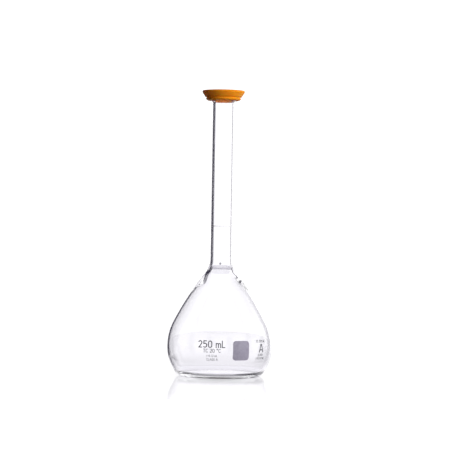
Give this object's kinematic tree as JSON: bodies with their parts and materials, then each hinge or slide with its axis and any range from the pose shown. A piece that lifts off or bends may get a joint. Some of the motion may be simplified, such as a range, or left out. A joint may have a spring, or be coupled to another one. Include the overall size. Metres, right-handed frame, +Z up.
{
  "type": "volumetric flask",
  "caption": "Pear-shaped flat-bottomed glass volumetric flask with a long narrow neck, a graduation ring, fired print and a lift-off orange snap cap.",
  "frame": {"origin": "on the bench under the middle of the foot", "axes": "+Z up the neck; the capacity print faces -Y; +X to the right of someone reading the print"},
  "size_m": [0.0816, 0.0817, 0.2209],
  "materials": {
    "glass": "clear, fire-polished borosilicate",
    "enamel_grey": "fired enamel, satin",
    "enamel_spot": "fired enamel, ground matt for pencil",
    "polyethylene": "moulded polyethylene, soft sheen"
  },
  "bodies": {
    "flask": {"bulb": "glass", "neck_tube": "glass", "graduation_ring": "enamel_grey", "capacity_mark": "enamel_grey", "standards_mark": "enamel_grey", "marking_spot": "enamel_spot", "class_mark": "enamel_grey"},
    "cap": {"snap_cap": "polyethylene"}
  },
  "joints": [
    {"name": "cap_lift", "type": "slide", "parent": "flask", "child": "cap", "axis": [0, 0, 1], "range_m": [0, 0.05]}
  ]
}
